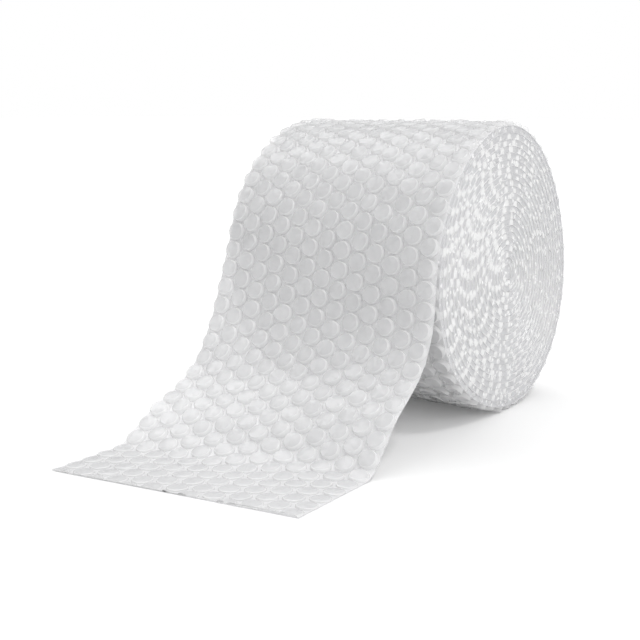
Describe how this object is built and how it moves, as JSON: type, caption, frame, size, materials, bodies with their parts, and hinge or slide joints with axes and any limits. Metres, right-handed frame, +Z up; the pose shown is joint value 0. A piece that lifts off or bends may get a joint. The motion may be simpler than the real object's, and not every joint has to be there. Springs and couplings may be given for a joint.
{
  "type": "bubble wrap roll",
  "caption": "Coreless roll of clear air bubble film standing on its turns, its free end drawn down off the front and out flat over the floor.",
  "frame": {"origin": "on the floor below the roll's axis, at the middle of the web's width, in the flat spot that the roll stands on", "axes": "+X along the roll's axis, towards the end that the tail's shorter edge is on; the tail runs out towards -Y; +Z up from the floor"},
  "size_m": [0.3, 0.673, 0.3699],
  "materials": {
    "bubble_film": "clear low-density polyethylene film, vacuum formed into air bubbles and laminated to a flat film; glossy, and milky white where many layers lie behind each other"
  },
  "bodies": {
    "root": {"bubble_web": "bubble_film"}
  },
  "joints": []
}
